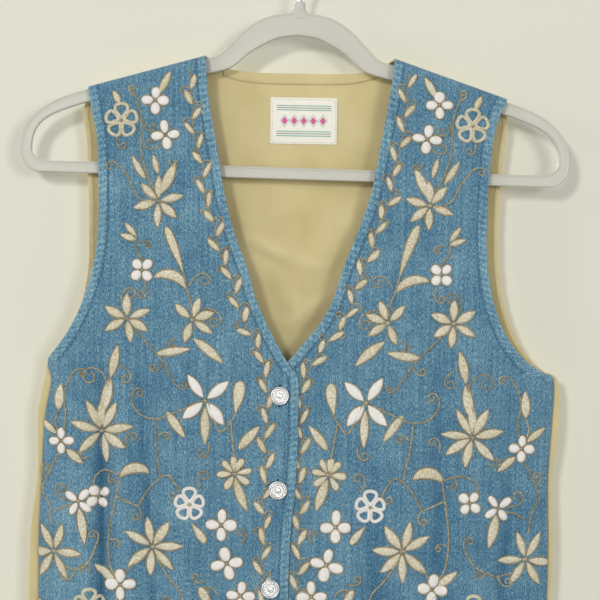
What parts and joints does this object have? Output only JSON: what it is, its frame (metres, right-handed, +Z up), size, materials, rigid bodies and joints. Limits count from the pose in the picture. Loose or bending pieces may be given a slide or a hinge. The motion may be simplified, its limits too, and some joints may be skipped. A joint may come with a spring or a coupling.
{
  "type": "embroidered denim waistcoat on a plastic hanger",
  "caption": "Sleeveless V-neck denim waistcoat with embroidered flowers and a cotton back, buttoned and hung flat on a moulded hanger with a wire hook.",
  "frame": {"origin": "inside top of the hanger's hook, where a rail or wall hook carries it", "axes": "+Z up, the fronts face -Y, the wearer's right side is at -X"},
  "size_m": [0.4564, 0.0385, 0.6921],
  "materials": {
    "denim": "washed mid-blue twill, embroidered in cream, white and tan thread",
    "cotton": "plain khaki cotton, matt",
    "label": "plain off-white woven tape",
    "button_metal": "silvery stamped metal, softly worn",
    "hanger_plastic": "light warm grey, satin",
    "hook_steel": "bright drawn wire",
    "embroidery": "satin-stitched cream, white and tan thread"
  },
  "bodies": {
    "root": {"front_right": "denim", "front_left": "denim", "back": "cotton", "neck_facing": "cotton", "neck_label": "label", "button_1": "button_metal", "button_2": "button_metal", "button_3": "button_metal", "button_4": "button_metal", "hanger_frame": "hanger_plastic", "hanger_hook": "hook_steel"}
  },
  "joints": []
}
